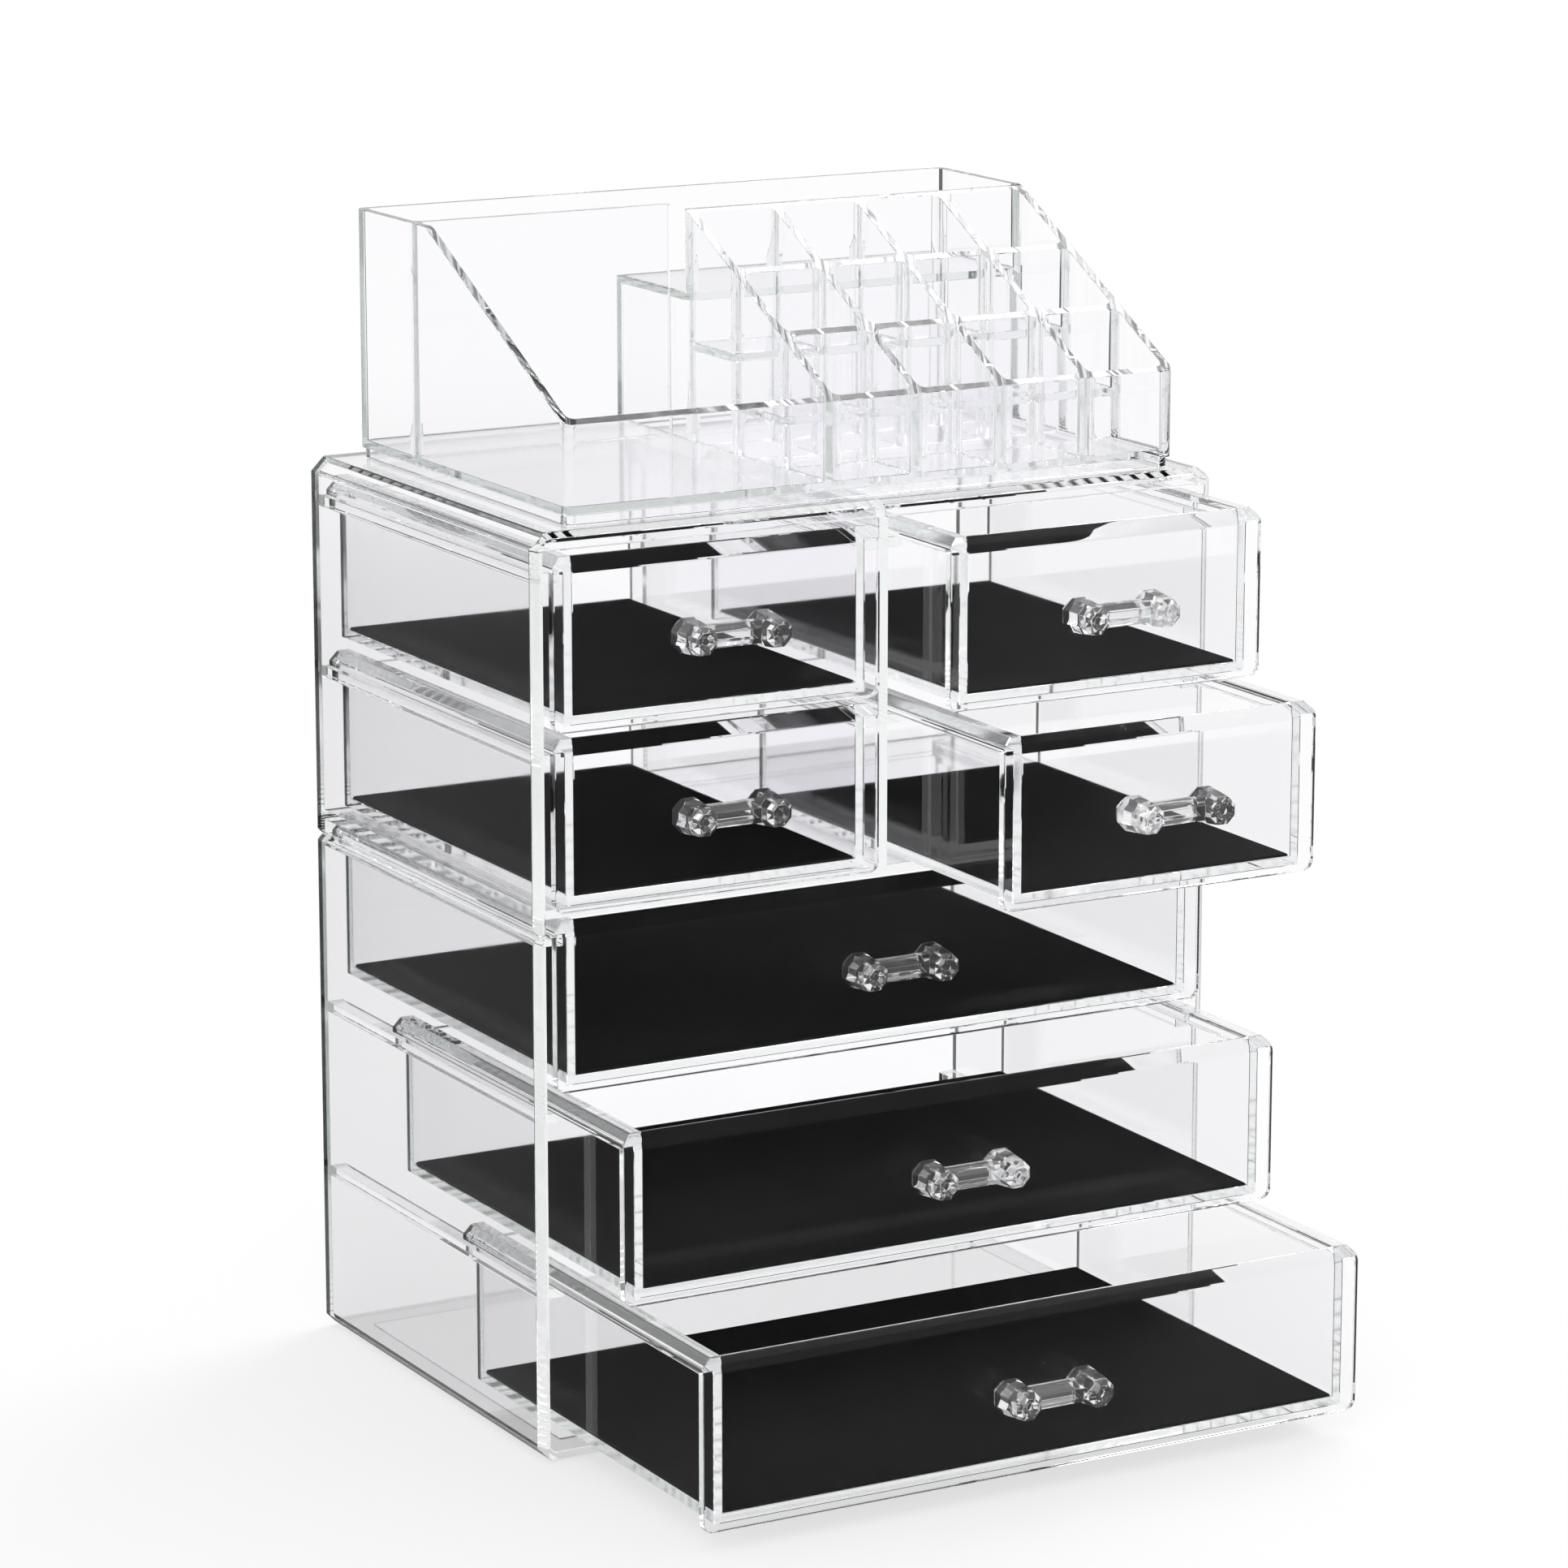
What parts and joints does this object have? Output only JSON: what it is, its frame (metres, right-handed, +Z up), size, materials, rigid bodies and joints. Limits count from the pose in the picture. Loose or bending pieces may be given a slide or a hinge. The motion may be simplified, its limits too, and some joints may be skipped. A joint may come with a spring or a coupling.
{
  "type": "makeup organizer",
  "caption": "Clear stacked makeup organizer: a lift-off tray with a stepped lipstick rack over small and wide lined drawers that slide on rails, with faceted clear handles.",
  "frame": {"origin": "on the ground, under the middle of the two cases", "axes": "+X to the right across the drawer fronts, -Y the way the drawers open, +Z up"},
  "size_m": [0.24, 0.2675, 0.3685],
  "materials": {
    "clear_acrylic": "clear, polished",
    "handle_acrylic": "clear, faceted",
    "liner": "matte black foam-backed mat"
  },
  "bodies": {
    "lower_case": {"lower_case": "clear_acrylic"},
    "upper_case": {"upper_case": "clear_acrylic"},
    "tray": {"top_tray": "clear_acrylic"},
    "upper_left": {"upper_left_drawer": "clear_acrylic", "upper_left_handle": "handle_acrylic", "upper_left_liner": "liner"},
    "upper_right": {"upper_right_drawer": "clear_acrylic", "upper_right_handle": "handle_acrylic", "upper_right_liner": "liner"},
    "lower_left": {"lower_left_drawer": "clear_acrylic", "lower_left_handle": "handle_acrylic", "lower_left_liner": "liner"},
    "lower_right": {"lower_right_drawer": "clear_acrylic", "lower_right_handle": "handle_acrylic", "lower_right_liner": "liner"},
    "wide_top": {"wide_top_drawer": "clear_acrylic", "wide_top_handle": "handle_acrylic", "wide_top_liner": "liner"},
    "wide_middle": {"wide_middle_drawer": "clear_acrylic", "wide_middle_handle": "handle_acrylic", "wide_middle_liner": "liner"},
    "wide_bottom": {"wide_bottom_drawer": "clear_acrylic", "wide_bottom_handle": "handle_acrylic", "wide_bottom_liner": "liner"}
  },
  "joints": [
    {"name": "upper_case_lift", "type": "slide", "parent": "lower_case", "child": "upper_case", "axis": [0, 0, 1], "range_m": [0, 0.15]},
    {"name": "tray_lift", "type": "slide", "parent": "upper_case", "child": "tray", "axis": [0, 0, 1], "range_m": [0, 0.12]},
    {"name": "upper_left_slide", "type": "slide", "parent": "upper_case", "child": "upper_left", "axis": [0, -1, 0], "range_m": [0, 0.112]},
    {"name": "upper_right_slide", "type": "slide", "parent": "upper_case", "child": "upper_right", "axis": [0, -1, 0], "range_m": [-0.031, 0.081]},
    {"name": "lower_left_slide", "type": "slide", "parent": "upper_case", "child": "lower_left", "axis": [0, -1, 0], "range_m": [0, 0.112]},
    {"name": "lower_right_slide", "type": "slide", "parent": "upper_case", "child": "lower_right", "axis": [0, -1, 0], "range_m": [-0.063, 0.049]},
    {"name": "wide_top_slide", "type": "slide", "parent": "lower_case", "child": "wide_top", "axis": [0, -1, 0], "range_m": [0, 0.112]},
    {"name": "wide_middle_slide", "type": "slide", "parent": "lower_case", "child": "wide_middle", "axis": [0, -1, 0], "range_m": [-0.043, 0.069]},
    {"name": "wide_bottom_slide", "type": "slide", "parent": "lower_case", "child": "wide_bottom", "axis": [0, -1, 0], "range_m": [-0.092, 0.02]}
  ]
}
